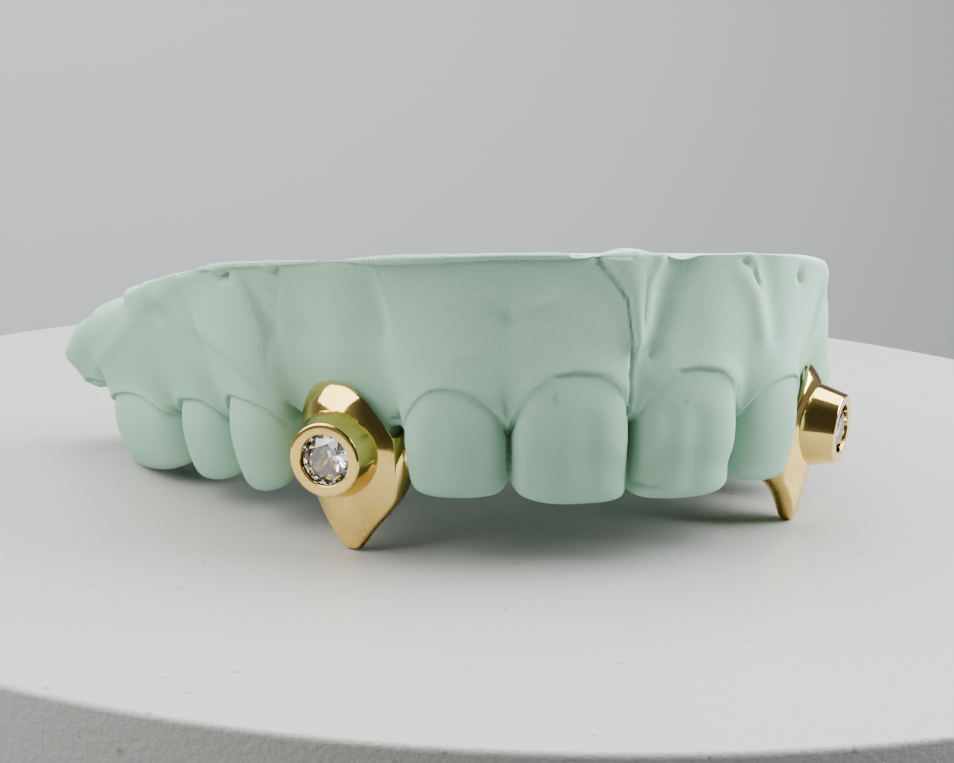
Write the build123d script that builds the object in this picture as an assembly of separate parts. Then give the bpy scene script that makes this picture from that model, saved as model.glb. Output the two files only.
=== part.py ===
from build123d import *
import math
import os

# Arch and teeth, mm
arch_half_width = 28.0
arch_length = 46.0
incisor_height = 9.9
crown_depth = 8.0
biting_edge = 1.1
gum_lip = 0.3
gum_hollow = 0.15
root_bulge = 0.35
papilla_depth = 1.1
palate_start = 5.4
contact_thickness = 0.7
web_height = 0.8

# Base of the cast, mm
stone_height = 18.3
heel_drop = 9.6
rim_flare = 7.4
palate_height = 12.6
palate_front = 9.0

# Caps, mm
cap_width = 8.9
cap_height = 12.8
cap_depth = 8.2
cap_wall = 0.55
face_wall = 0.95
cap_clearance = 0.2
fang_length = 3.75
stump_height = 0.5
stump_shoulder = 1.2
margin_overlap = 0.35
cap_to_front = 0.2
cap_set_back = 0.7

# Diamonds, mm
diamond_diameter = 4.2
diamond_gap = 0.12
table_recess = 0.12
girdle_thickness = 0.12
diamond_sides = 8

# Bezels, mm and degrees
bezel_wall = 0.75
bezel_height = 1.6
bezel_taper = 0.36
bezel_lip = 0.15
lip_land = 0.1
bezel_root = 2.05
flange_width = 0.12
flange_height = 0.15
edge_round = 0.1
bezel_rise_right = 7.45
bezel_rise_left = 7.8
bezel_to_front = 0.35
bezel_tilt = 8.0
bezel_turn_right = 13.0
bezel_turn_left = 8.0

# Shares of the diamond's radius: the table's and star facets' corners, the lower facets' corners,
# the crown's height and the pavilion's depth
table_share = 0.56
star_share = 0.80
lower_share = 0.62
crown_share = 0.27
pavilion_share = 0.72

# Shares and curves of the cast
midline_share = 0.8
inner_neck_drop = 0.22
papilla_curve = 2.2
rim_bulge = 0.12
palate_foot = 0.22
spine_curve = 1.15
top_fall = 0.40
spine_fall = 0.14
top_fall_curve = 2.0
shoulder_curve = 2.5
corner_share = 0.7
corner_curve = 6
cusp_curve = 8
groove_curve = 4
edge_slope = 0.05
tooth_bow = 1.3
edge_place = 0.45
edge_round_share = 0.25

# Shares and curves of a cap
face_dome = 0.26
side_square = 2.6
side_margin = 0.68
back_margin = 0.76
margin_peak = 0.25
margin_curve = 3.2
margin_climb = 1.3

# Degrees: the steepest that the cast is tried at when it is laid down
steepest_rest = 20.0

# Steps of the meshes: round a section of the cast, then round a cap
top_steps = 4
wall_steps = 3
gum_steps = 6
crown_steps = 14
palate_steps = 5
cap_face_steps = 10
cap_side_steps = 14


def table(columns, *rows):
    """The rows of a table as dictionaries, with each column's name written once."""
    names = columns.split()
    return [dict(zip(names, row)) for row in rows]


# A row for each tooth from the midline back. Across and back place its distal contact, as shares of
# the arch's half width and length. Out, inner, edge, cusp and gum are shares of the crown's depth, and
# gum is how far out the gum's edge lies. Root is a share of the root's bulge, and square says how square
# the crown is from above.
PLANS = table(
    "name across back out inner edge cusp root square gum",
    ("central", 0.307, 0.0245, 0.50, 0.42, 0.31, -0.32, 0.8, 3.2, 0.52),
    ("lateral", 0.536, 0.105, 0.44, 0.40, 0.27, -0.28, 0.6, 2.7, 0.465),
    ("canine", 0.736, 0.282, 0.19, 0.42, 0.00, 0.00, 0.3, 2.4, 0.36),
    ("premolar", 0.815, 0.430, 0.55, 0.55, 0.33, -0.30, 0.8, 2.4, 0.56),
    ("premolar_2", 0.896, 0.592, 0.55, 0.55, 0.35, -0.30, 0.7, 2.4, 0.57),
    ("molar", 0.990, 0.868, 0.65, 0.66, 0.44, -0.40, 0.5, 3.2, 0.665),
    ("heel", 1.035, 1.000, 0.55, 0.56, 0.20, -0.20, 0.0, 3.0, 0.6),
)

# Heights of the same teeth, as shares of the incisor's
HEIGHTS = table(
    "neck papilla tip web mesial distal cusp_height groove",
    (1.00, 0.56, 0.00, 0.12, 0.05, 0.12, 0.62, 0.42),
    (0.88, 0.52, 0.06, 0.24, 0.12, 0.17, 0.62, 0.44),
    (0.86, 0.58, 0.86, 0.56, 0.54, 0.54, 0.66, 0.70),
    (0.76, 0.50, 0.00, 0.56, 0.18, 0.20, 0.08, 0.24),
    (0.70, 0.46, 0.02, 0.24, 0.17, 0.19, 0.07, 0.24),
    (0.68, 0.46, 0.02, 0.22, 0.15, 0.18, 0.09, 0.26),
    (0.74, 0.64, 0.64, 0.52, 0.66, 0.68, 0.66, 0.64),
)
TEETH = [{**plan, **heights} for plan, heights in zip(PLANS, HEIGHTS)]

# A row for each place along the half arch. Flare is a share of the rim's flare, drop of the heel's drop.
# Trim is how far in from the rim the trimmed corner starts, as a share of the rim's flare.
# The right-hand side of the mouth lies at -X and the left-hand side at +X.
BASE = table(
    "along flare_right drop_right trim_right flare_left drop_left trim_left",
    (0.00, 0.66, 0.00, 0.05, 0.66, 0.00, 0.05),
    (0.15, 0.68, -0.02, 0.05, 0.64, 0.01, 0.05),
    (0.22, 0.76, -0.01, 0.05, 0.62, 0.06, 0.10),
    (0.29, 0.83, 0.00, 0.05, 0.62, 0.17, 0.30),
    (0.37, 0.92, 0.01, 0.08, 0.62, 0.38, 0.46),
    (0.45, 1.00, 0.03, 0.10, 0.60, 0.44, 0.52),
    (0.60, 1.04, 0.15, 0.24, 0.66, 0.50, 0.55),
    (0.80, 1.02, 0.48, 0.50, 0.78, 0.62, 0.58),
    (1.00, 0.92, 1.00, 0.78, 0.88, 1.00, 0.78),
)

# The outer face of a crown, from the gum line to the biting edge: how far in from its widest place
# to the edge, and how high, as shares. Then its inner face, from the cusp to the inner gum line.
CROWN_FACE = table("inward up", (0.06, 1.00), (0.00, 0.72), (0.25, 0.42), (0.65, 0.16), (1.00, 0.02))
CROWN_BACK = table("inward up", (0.75, 0.30), (1.00, 0.70), (0.97, 1.00))

# The gum from the rim to the gum line: how far in to the gum's edge and down, as shares, and the
# shares of the root's bulge and of the gum's hollow that it takes. Turn is how far it has turned in
# from the gum's edge to the tooth.
GUM = table(
    "inward down root hollow turn",
    (0.00, 0.00, 0.0, 0.00, 0.0),
    (0.28, 0.20, 0.0, 1.00, 0.0),
    (0.60, 0.45, 0.6, 0.67, 0.0),
    (0.90, 0.75, 1.0, 0.67, 0.0),
    (1.00, 0.93, 0.3, 0.00, 0.15),
    (1.00, 1.00, 0.0, 0.00, 1.0),
)

# Places across each tooth where the cast has a section, from its front contact to its back one
PLACES = (-1.0, -0.95, -0.75, -0.40, 0.0, 0.40, 0.75, 0.95)

# A row for each height of a cap, as a share of its height from the fang's tip up. Front and back are
# shares of the cap's depth from the tooth's middle, mesial and distal are shares of its half width.
# Wall is a share of the wall behind the cap's face.
CAP_ROWS = table(
    "up front back mesial distal wall",
    (0.000, 0.225, 0.165, 0.04, 0.04, 1.00),
    (0.008, 0.255, 0.135, 0.12, 0.12, 1.00),
    (0.035, 0.280, 0.105, 0.22, 0.20, 1.00),
    (0.120, 0.325, 0.065, 0.45, 0.37, 1.00),
    (0.220, 0.370, 0.000, 0.71, 0.56, 1.00),
    (0.290, 0.400, -0.100, 0.86, 0.70, 1.00),
    (0.360, 0.432, -0.230, 0.92, 0.81, 1.00),
    (0.480, 0.490, -0.360, 0.97, 0.95, 1.00),
    (0.620, 0.540, -0.420, 1.00, 1.00, 1.00),
    (0.780, 0.560, -0.445, 1.00, 1.00, 0.95),
    (0.900, 0.525, -0.450, 1.00, 1.00, 0.72),
    (1.000, 0.435, -0.450, 1.00, 1.00, 0.45),
)
CAP_LEVELS = (0.0, 0.01, 0.045, 0.14, 0.27, 0.38, 0.48, 0.60, 0.72, 0.86, 1.0)

# The hollow of a cap: its level from the floor to the cap's top, and its width as a share
HOLLOW = table(
    "level width",
    (0.00, 0.92), (0.08, 1.00), (0.25, 1.00), (0.42, 1.00),
    (0.60, 1.00), (0.80, 1.00), (1.00, 1.00), (1.30, 1.00),
)

# The height of each side's bezel above the fang's tip, and how far it is turned
BEZEL_PLACES = {"right": (bezel_rise_right, bezel_turn_right), "left": (bezel_rise_left, bezel_turn_left)}

# Where the cast's sections lie across the covered tooth, as shares of its half width
COVERED_PLACES = {0.0: 0.0, 0.40: 0.5, 0.75: 0.97, 0.95: 1.0}


def mix(a, b, t):
    return a + (b - a) * t


def ease(t):
    t = min(max(t, 0.0), 1.0)
    return t * t * (3 - 2 * t)


def curve(values, t):
    """A smooth curve through evenly spaced values, with t from 0 to 1."""
    last = len(values) - 1
    step = min(int(t * last), last - 1)
    f = t * last - step
    a = values[max(step - 1, 0)]
    b = values[step]
    c = values[step + 1]
    d = values[min(step + 2, last)]
    bend = (2 * a - 5 * b + 4 * c - d) * f * f + (3 * b - a - 3 * c + d) * f ** 3
    return 0.5 * (2 * b + (c - a) * f + bend)


def row_at(rows, key, value):
    """The values of a table at a place between its rows."""
    for low, high in zip(rows, rows[1:]):
        if value <= high[key]:
            break
    t = (value - low[key]) / (high[key] - low[key])
    return {name: mix(low[name], high[name], t) for name in low}


def unit(x, y):
    length = math.hypot(x, y)
    return x / length, y / length


def contact_points():
    """Where neighbouring teeth touch, from the midline back, on the left-hand side."""
    front = 0.5 * crown_depth * (TEETH[0]["out"] + TEETH[0]["edge"]) * midline_share
    points = [(0.0, front)]
    for tooth in TEETH:
        points.append((tooth["across"] * arch_half_width, front + tooth["back"] * arch_length))
    return points


CONTACTS = contact_points()


def contact_tangents():
    tangents = [(1.0, 0.0)]
    for before, after in zip(CONTACTS, CONTACTS[2:]):
        tangents.append(unit(after[0] - before[0], after[1] - before[1]))
    return tangents + [(0.0, 1.0)]


TANGENTS = contact_tangents()


def arch_frame(index, place):
    """The point of the arch at a place across a tooth, the arch's outward direction and the tooth's."""
    (ax, ay), (bx, by) = CONTACTS[index], CONTACTS[index + 1]
    (tax, tay), (tbx, tby) = TANGENTS[index], TANGENTS[index + 1]
    chord = math.hypot(bx - ax, by - ay)
    t = (place + 1) / 2
    h1 = 2 * t ** 3 - 3 * t ** 2 + 1
    h2 = t ** 3 - 2 * t ** 2 + t
    h3 = 3 * t ** 2 - 2 * t ** 3
    h4 = t ** 3 - t ** 2
    x = h1 * ax + h2 * tax * chord + h3 * bx + h4 * tbx * chord
    y = h1 * ay + h2 * tay * chord + h3 * by + h4 * tby * chord
    arch_out = unit(mix(tay, tby, t), -mix(tax, tbx, t))
    tooth_out = unit((by - ay), -(bx - ax))
    share = abs(place) ** 3
    own_out = unit(mix(tooth_out[0], arch_out[0], share), mix(tooth_out[1], arch_out[1], share))
    return x, y, arch_out, own_out


def crown_section(tooth, place):
    """Offsets and heights from the outer gum line over the biting edge to the inner gum line."""
    side = tooth["mesial"] if place < 0 else tooth["distal"]
    m = abs(place)
    full = (1 - m ** tooth["square"]) ** (1 / tooth["square"])
    corner = mix(m ** 2, m ** corner_curve, corner_share)
    edge_height = tooth["web"] if place == -1 else mix(tooth["tip"], side, corner)
    edge_height *= incisor_height
    neck = incisor_height * mix(tooth["neck"], tooth["papilla"], m ** papilla_curve)
    neck_inner = mix(tooth["neck"] - inner_neck_drop, tooth["papilla"], m ** papilla_curve) * incisor_height
    if place == -1:
        neck = max(neck, edge_height + web_height)
        neck_inner = max(neck_inner, edge_height + web_height)
    half_contact = 0.5 * contact_thickness
    out = mix(half_contact, tooth["out"] * crown_depth, full)
    inner = mix(half_contact, tooth["inner"] * crown_depth, full)
    edge = mix(half_contact, tooth["edge"] * crown_depth, full)
    thick = mix(0.5 * half_contact, biting_edge, full)
    cusp = mix(-0.5 * half_contact, tooth["cusp"] * crown_depth, full)
    cusp_height = incisor_height * mix(tooth["cusp_height"], tooth["papilla"], m ** corner_curve)
    cusp_height = max(cusp_height, edge_height)
    cusp_height = mix(cusp_height, edge_height, m ** cusp_curve)
    groove = mix(incisor_height * tooth["groove"], mix(edge_height, cusp_height, 0.5), m ** groove_curve)
    points = [(mix(out, edge, row["inward"]), mix(edge_height, neck, row["up"])) for row in CROWN_FACE]
    points.append((edge - 0.5 * thick, edge_height))
    points.append((edge - thick, mix(edge_height, neck, edge_slope)))
    points.append((mix(edge - thick, cusp, 0.5), groove))
    points.append((cusp, cusp_height))
    for row in CROWN_BACK:
        points.append((mix(cusp, -inner, row["inward"]), mix(cusp_height, neck_inner, row["up"])))
    return [p[0] for p in points], [p[1] for p in points]


def cap_frame():
    """The middle of a cap on the left-hand side, its outward and its backward direction."""
    index = [tooth["name"] for tooth in TEETH].index("canine")
    (ax, ay), (bx, by) = CONTACTS[index], CONTACTS[index + 1]
    back = unit(bx - ax, by - ay)
    out = (back[1], -back[0])
    middle_x = (ax + bx) / 2 - back[0] * cap_to_front - out[0] * cap_set_back
    middle_y = (ay + by) / 2 - back[1] * cap_to_front - out[1] * cap_set_back
    return (middle_x, middle_y), out, back


def margin_height(face):
    """The height of a cap's upper edge across its face, from -1 at its front side to 1 at its back side."""
    peak = (face - margin_peak) / (1 + margin_peak if face < margin_peak else 1 - margin_peak)
    return mix(1.0, side_margin, abs(peak) ** margin_curve) * cap_height - fang_length


def covered_crown(place):
    """Points across the covered tooth, which is the cap's hollow less the clearance."""
    share = math.copysign(COVERED_PLACES[abs(place)], place)
    full = (1 - min(abs(share), 0.97) ** side_square) ** (1 / side_square)
    gum_at_side = abs(place) == max(COVERED_PLACES)
    neck = margin_height(share) + (2 * margin_overlap if gum_at_side else -margin_overlap)
    neck_inner = back_margin * cap_height - fang_length + margin_overlap
    edge = stump_height + stump_shoulder * abs(share) ** shoulder_curve
    points = []
    for k in range(crown_steps + 1):
        t = 2 * k / crown_steps - 1
        height = mix(edge, neck if t < 0 else neck_inner, abs(t) ** tooth_bow)
        if gum_at_side:
            height = mix(neck, neck_inner, k / crown_steps)
        row = row_at(CAP_ROWS, "up", (height + fang_length) / cap_height)
        width = 0.5 * cap_width * row["mesial" if share < 0 else "distal"]
        across = share * (width - cap_wall - cap_clearance)
        front = row["front"] * cap_depth - face_wall * row["wall"] - cap_clearance
        front -= face_dome * cap_depth * (across / (0.5 * cap_width)) ** 2
        rear = mix(front - 0.5 * contact_thickness, row["back"] * cap_depth + cap_wall + cap_clearance, full)
        round_off = math.sqrt(min(1.0, abs(t) / edge_round_share))
        u = mix(mix(front, rear, edge_place), front if t < 0 else rear, round_off)
        if gum_at_side:
            u = mix(front, rear, k / crown_steps)
        points.append((across, u, height))
    return place_cap(points)


def gum_edge(index, place):
    """How far out the gum lies just above the gum line: it fills the gaps between the teeth."""
    spot = min(max(index + 0.5 * place, 0), len(TEETH) - 1)
    share = curve([tooth["gum"] for tooth in TEETH], spot / (len(TEETH) - 1))
    return share * crown_depth - papilla_depth * place ** 4


def section(index, place, side):
    """One section of the cast, from the middle of its top, over rim and tooth, to the palate's middle."""
    tooth = TEETH[index]
    x, y, arch_out, own_out = arch_frame(index, place)
    along = (index + (place + 1) / 2) / len(TEETH)
    base = row_at(BASE, "along", along)
    rim_out = base["flare_" + side] * rim_flare
    rim_height = stone_height - base["drop_" + side] * heel_drop
    top_out = rim_out - base["trim_" + side] * rim_flare
    top_height = stone_height - top_fall * heel_drop * along ** top_fall_curve
    spine = max(0.0, along * len(TEETH) - 1) / (len(TEETH) - 1)
    spine_height = stone_height - spine_fall * heel_drop * spine ** top_fall_curve
    spine_y = mix(CONTACTS[0][1] + palate_front, CONTACTS[-1][1], spine ** spine_curve)
    points = []

    def put(out, height, direction):
        points.append((x + direction[0] * out, y + direction[1] * out, height))

    top_x = x + arch_out[0] * top_out
    top_y = y + arch_out[1] * top_out
    for k in range(top_steps):
        t = k / top_steps
        points.append((top_x * t, mix(spine_y, top_y, t), mix(spine_height, top_height, t ** 2)))
    for k in range(wall_steps):
        a = k / wall_steps * math.pi / 2
        bulge = rim_bulge * (rim_out - top_out) * math.sin(2 * a)
        put(mix(top_out, rim_out, math.sin(a)) + bulge, mix(rim_height, top_height, math.cos(a)), arch_out)
    covered = tooth["name"] == "canine" and place > -1
    if covered:
        crown = covered_crown(place)
    else:
        outs, heights = crown_section(tooth, place)
        crown = []
        for k in range(crown_steps + 1):
            out = curve(outs, k / crown_steps)
            crown.append((x + own_out[0] * out, y + own_out[1] * out, curve(heights, k / crown_steps)))
    reach = (crown[0][0] - x) * own_out[0] + (crown[0][1] - y) * own_out[1]
    own_lip = 0.0 if covered else gum_lip
    lip = (reach + own_lip, crown[0][2] + 0.5 * own_lip)
    root = root_bulge * math.cos(place * math.pi / 2) ** 2 * tooth["root"]
    edge_out = lip[0] if covered else gum_edge(index, place)
    gum_outs = []
    for row in GUM:
        out = mix(mix(rim_out, edge_out, row["inward"]), lip[0], row["turn"])
        gum_outs.append(out + row["root"] * root - row["hollow"] * gum_hollow)
    gum_heights = [mix(rim_height, lip[1], row["down"]) for row in GUM]
    slide = (crown[0][1] - y) * own_out[0] - (crown[0][0] - x) * own_out[1]
    for k in range(gum_steps + 1):
        t = k / gum_steps
        blend = ease(t)
        direction = unit(mix(arch_out[0], own_out[0], blend), mix(arch_out[1], own_out[1], blend))
        out = curve(gum_outs, t)
        gum_x = x + direction[0] * out - own_out[1] * slide * blend
        gum_y = y + direction[1] * out + own_out[0] * slide * blend
        points.append((gum_x, gum_y, curve(gum_heights, t)))
    if covered:
        points[-1] = crown[0]
    points += crown
    reach = (crown[-1][0] - x) * own_out[0] + (crown[-1][1] - y) * own_out[1]
    put(reach - gum_lip, crown[-1][2] + 0.5 * gum_lip, own_out)
    palate_rise = 0.5 * incisor_height * (tooth["neck"] + tooth["papilla"])
    put(-palate_start, mix(palate_rise, palate_height, palate_foot), own_out)
    start_x, start_y, start_height = points[-1]
    for k in range(1, palate_steps + 1):
        t = k / palate_steps
        rise = math.sin(t * math.pi / 2)
        points.append((start_x * (1 - t), mix(start_y, spine_y, t), mix(start_height, palate_height, rise)))
    return points


def half_sections(side):
    rows = []
    for index in range(len(TEETH)):
        for place in PLACES:
            rows.append(section(index, place, side))
    rows.append(section(len(TEETH) - 1, 1.0, side))
    return rows


def strip(first, second, count, close=False):
    """Triangles between two rows of points."""
    triangles = []
    for k in range(count if close else count - 1):
        n = (k + 1) % count
        triangles.append((first + k, second + k, second + n))
        triangles.append((first + k, second + n, first + n))
    return triangles


def stone_mesh():
    right = [[(-x, y, z) for x, y, z in row] for row in half_sections("right")]
    left = half_sections("left")
    rows = right[::-1] + left[1:]
    count = len(rows[0])
    points = [p for row in rows for p in row]
    polygons = []
    for r in range(len(rows) - 1):
        polygons += strip(r * count, (r + 1) * count, count)
    last = (len(rows) - 1) * count
    polygons.append(tuple(range(count)) + tuple(last + k for k in range(count - 2, 0, -1)))
    return points, polygons


def cap_ring(up, inset=0.0, face_inset=0.0, level=None):
    """Points round a cap in its own frame: backward, outward and up. The insets make it smaller."""
    points = []
    spots = [(-1 + 2 * k / cap_face_steps, None) for k in range(cap_face_steps + 1)]
    spots += [(None, k / cap_side_steps) for k in range(1, cap_side_steps)]
    for face, turn in spots:
        if face is not None:
            margin = (margin_height(face) + fang_length) / cap_height
        else:
            margin = mix(side_margin, back_margin, ease(math.sin(math.pi * turn) * margin_climb))
        share = up if level is None else up + (margin - up) * level
        row = row_at(CAP_ROWS, "up", min(share, 1.0))
        front = row["front"] * cap_depth - face_inset * row["wall"]
        rear = row["back"] * cap_depth + inset
        near = row["mesial"] * 0.5 * cap_width - inset
        far = row["distal"] * 0.5 * cap_width - inset
        dome = face_dome * cap_depth
        if face is not None:
            along = face * (near if face < 0 else far)
            out = front - dome * (along / (0.5 * cap_width)) ** 2
        else:
            a = math.pi * turn
            wide = far if turn < 0.5 else near
            edge = front - dome * (wide / (0.5 * cap_width)) ** 2
            spread = abs(math.cos(a)) ** (2 / side_square)
            along = math.copysign(wide * spread, math.cos(a))
            out = mix(edge, rear, math.sin(a) ** (2 / side_square))
        points.append((along, out, share * cap_height - fang_length))
    return points


def tube_mesh(rings):
    """A closed mesh through rings of points, with a lid at each end."""
    count = len(rings[0])
    points = [p for ring in rings for p in ring]
    triangles = []
    for r in range(len(rings) - 1):
        triangles += strip(r * count, (r + 1) * count, count, close=True)
    for ring, first, flip in ((rings[0], 0, True), (rings[-1], (len(rings) - 1) * count, False)):
        middle = tuple(sum(p[axis] for p in ring) / count for axis in range(3))
        points.append(middle)
        centre = len(points) - 1
        for k in range(count):
            n = (k + 1) % count
            triangles.append((first + n, first + k, centre) if flip else (first + k, first + n, centre))
    return points, triangles


def cap_outer():
    return tube_mesh([cap_ring(0.0, level=level) for level in CAP_LEVELS])


def cap_inner():
    """The hollow of a cap, from below the covered tooth's edge to the cap's top."""
    rings = []
    for row in HOLLOW:
        narrow = row["width"]
        height = mix(stump_height - cap_clearance, cap_height - fang_length, row["level"])
        ring = cap_ring((height + fang_length) / cap_height, cap_wall, face_wall)
        middle = sum(p[1] for p in ring) / len(ring)
        rings.append([(v * narrow, mix(middle, u, narrow), height) for v, u, z in ring])
    return tube_mesh(rings)


def place_cap(points):
    """From a cap's own frame to the cast's, on the left-hand side."""
    middle, out, back = cap_frame()
    placed = []
    for v, u, z in points:
        placed.append((middle[0] + v * back[0] + u * out[0], middle[1] + v * back[1] + u * out[1], z))
    return placed


def bezel_face(rise, turn):
    """The middle of the bezel's front ring in the cap's own frame, and its outward direction."""
    tilt = math.radians(bezel_tilt)
    yaw = math.radians(turn)
    direction = (-math.sin(yaw) * math.cos(tilt), math.cos(yaw) * math.cos(tilt), -math.sin(tilt))
    plate = row_at(CAP_ROWS, "up", rise / cap_height)["front"] * cap_depth
    reach = bezel_height + flange_height
    root = (-bezel_to_front, plate, rise - fang_length)
    return tuple(r + reach * d for r, d in zip(root, direction)), direction


def rest_turn(points, tip):
    """The turn about X that lays the fang's tip and the molars on one level."""
    low, high = 0.0, math.radians(steepest_rest)
    for _ in range(40):
        turn = (low + high) / 2
        floor = min(z * math.cos(turn) - y * math.sin(turn) for x, y, z in points)
        if tip[2] * math.cos(turn) - tip[1] * math.sin(turn) < floor:
            low = turn
        else:
            high = turn
    return turn


def turned(points, turn):
    s, c = math.sin(turn), math.cos(turn)
    return [(x, y * c + z * s, z * c - y * s) for x, y, z in points]


def moved(points, shift):
    return [(x + shift[0], y + shift[1], z + shift[2]) for x, y, z in points]


def diamond_mesh():
    """A round brilliant with its girdle's top at height 0, its table up and its point down."""
    radius = diamond_diameter / 2
    half = math.pi / diamond_sides
    flat = table_share * radius
    star = star_share * radius
    low = lower_share * radius
    crown = crown_share * radius
    pavilion = pavilion_share * radius

    def ring(size, height, count, offset):
        angles = [offset + k * 2 * math.pi / count for k in range(count)]
        return [(size * math.cos(a), size * math.sin(a), height) for a in angles]

    n = diamond_sides
    star_height = crown * (radius - star * math.cos(half)) / (radius - flat)
    low_height = -girdle_thickness - pavilion * (radius - low * math.cos(half)) / radius
    points = ring(flat, crown, n, 0) + ring(star, star_height, n, half)
    points += ring(radius, 0.0, 2 * n, 0) + ring(radius, -girdle_thickness, 2 * n, 0)
    points += ring(low, low_height, n, half) + [(0.0, 0.0, -girdle_thickness - pavilion)]
    s, g, b, p, point = n, 2 * n, 4 * n, 6 * n, 7 * n
    faces = [tuple(range(n))]
    for k in range(n):
        j = (k + 1) % n
        i = (k - 1) % n
        faces.append((k, s + k, j))
        faces.append((k, s + i, g + 2 * k, s + k))
        faces.append((s + k, g + 2 * k, g + 2 * k + 1))
        faces.append((s + k, g + 2 * k + 1, g + 2 * j))
        faces.append((g + 2 * k, b + 2 * k, b + 2 * k + 1, g + 2 * k + 1))
        faces.append((g + 2 * k + 1, b + 2 * k + 1, b + 2 * j, g + 2 * j))
        faces.append((p + k, b + 2 * k + 1, b + 2 * k))
        faces.append((p + k, b + 2 * j, b + 2 * k + 1))
        faces.append((point, p + k, b + 2 * k, p + i))
    return points, faces


def solid_of(points, polygons):
    faces = []
    for polygon in polygons:
        corners = [Vector(*points[k]) for k in polygon]
        spots = set((round(c.X, 6), round(c.Y, 6), round(c.Z, 6)) for c in corners)
        if len(spots) == len(corners):
            faces.append(Face(Wire.make_polygon(corners, close=True)))
    return Solid(Shell(faces))


def turned_profile(profile, plane):
    """A solid of revolution from radii and depths behind the bezel's front ring."""
    corners = [plane.from_local_coords(Vector(radius, 0, -depth)) for radius, depth in profile]
    face = Face(Wire.make_polygon(corners, close=True))
    return revolve(face, Axis(plane.origin, plane.z_dir), 360)


def bezel_solids(plane):
    """The bezel's outer body and the seat cut from it, about the axis of its front ring."""
    radius = diamond_diameter / 2
    ring = radius + bezel_wall
    foot = ring + bezel_taper
    flange = foot + flange_width
    deep = bezel_height + flange_height + bezel_root
    outer = ((0, 0), (ring - edge_round, 0), (ring, edge_round), (foot, bezel_height),
             (flange, bezel_height + edge_round), (flange, deep), (0, deep))
    girdle = table_recess + crown_share * radius
    bore = radius + diamond_gap
    bottom = girdle + girdle_thickness + pavilion_share * radius + diamond_gap
    seat = ((0, -1), (radius, -1), (radius - bezel_lip, 0), (radius - bezel_lip, table_recess + lip_land),
            (bore, girdle - diamond_gap), (bore, girdle + girdle_thickness + diamond_gap),
            (diamond_gap, bottom), (0, bottom))
    return turned_profile(outer, plane), turned_profile(seat, plane), girdle


# Solids and files
os.makedirs("parts", exist_ok=True)

cap_points, cap_triangles = cap_outer()
hollow_points, hollow_triangles = cap_inner()
stone_points, stone_triangles = stone_mesh()
tip = min(place_cap(cap_points), key=lambda p: p[2])
turn = rest_turn(stone_points, tip)
laid = turned(stone_points + place_cap(cap_points), turn)
lows = [min(p[axis] for p in laid) for axis in range(3)]
highs = [max(p[axis] for p in laid) for axis in range(3)]
shift = (-(lows[0] + highs[0]) / 2, -(lows[1] + highs[1]) / 2, -lows[2])


def final(points, side):
    """Points of the cast's left-hand side, or mirrored to its right-hand side, where the cast rests."""
    sign = -1 if side == "right" else 1
    return moved(turned([(sign * x, y, z) for x, y, z in points], turn), shift)


def final_solid(points, polygons, side):
    if side == "right":
        polygons = [polygon[::-1] for polygon in polygons]
    return solid_of(final(points, side), polygons)


def build_side(side):
    """The cap with its bezel, and the diamond of one side."""
    outer = final_solid(place_cap(cap_points), cap_triangles, side)
    hollow = final_solid(place_cap(hollow_points), hollow_triangles, side)
    rise, turn_out = BEZEL_PLACES[side]
    centre, direction = bezel_face(rise, turn_out)
    ahead = tuple(c + d for c, d in zip(centre, direction))
    origin, front = [Vector(*p) for p in final(place_cap([centre, ahead]), side)]
    plane = Plane(origin=origin, z_dir=front - origin)
    body, seat, girdle = bezel_solids(plane)
    cap = outer + body - hollow - seat
    points, faces = diamond_mesh()
    diamond = plane.offset(-girdle).location * solid_of(points, faces)
    return cap, diamond


pieces = {"stone_cast": final_solid(stone_points, stone_triangles, "left")}
for side in ("right", "left"):
    pieces["gold_cap_" + side], pieces["diamond_" + side] = build_side(side)
for name, piece in pieces.items():
    solids = piece.solids()
    volume = round(sum(s.volume for s in solids), 2)
    print(name, "solids", len(solids), "volume", volume, piece.bounding_box().size)
    export_step(piece, "parts/" + name + ".step")
print("rest turn", round(math.degrees(turn), 3), "shift", shift)
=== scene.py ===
import math

import bmesh
import bpy
import numpy as np
from mathutils import Matrix, Vector
from mathutils.bvhtree import BVHTree
from mathutils.kdtree import KDTree


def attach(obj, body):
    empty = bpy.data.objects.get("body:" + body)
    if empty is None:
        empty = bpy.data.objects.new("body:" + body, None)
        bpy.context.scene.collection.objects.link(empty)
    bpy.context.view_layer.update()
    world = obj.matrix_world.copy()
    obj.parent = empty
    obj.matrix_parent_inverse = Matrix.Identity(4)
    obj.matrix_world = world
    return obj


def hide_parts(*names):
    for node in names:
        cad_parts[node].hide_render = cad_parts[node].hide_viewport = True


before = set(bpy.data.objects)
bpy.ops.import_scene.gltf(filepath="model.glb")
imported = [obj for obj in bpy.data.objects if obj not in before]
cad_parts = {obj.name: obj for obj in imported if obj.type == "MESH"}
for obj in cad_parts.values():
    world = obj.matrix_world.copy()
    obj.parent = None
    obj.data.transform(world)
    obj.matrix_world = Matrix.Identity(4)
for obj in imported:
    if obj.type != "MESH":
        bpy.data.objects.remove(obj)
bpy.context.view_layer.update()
mm = 0.001


# Small helpers

def mix(a, b, t):
    return a + (b - a) * t


def towards(turn, rise):                      # a direction, in degrees round from the front towards +X and up
    turn, rise = math.radians(turn), math.radians(rise)
    return Vector((math.sin(turn) * math.cos(rise), -math.cos(turn) * math.cos(rise), math.sin(rise)))


def ease(t):
    t = min(max(t, 0.0), 1.0)
    return t * t * (3 - 2 * t)


def asTable(columns, *rows):
    names = columns.split()
    return [dict(zip(names, row)) for row in rows]


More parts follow.
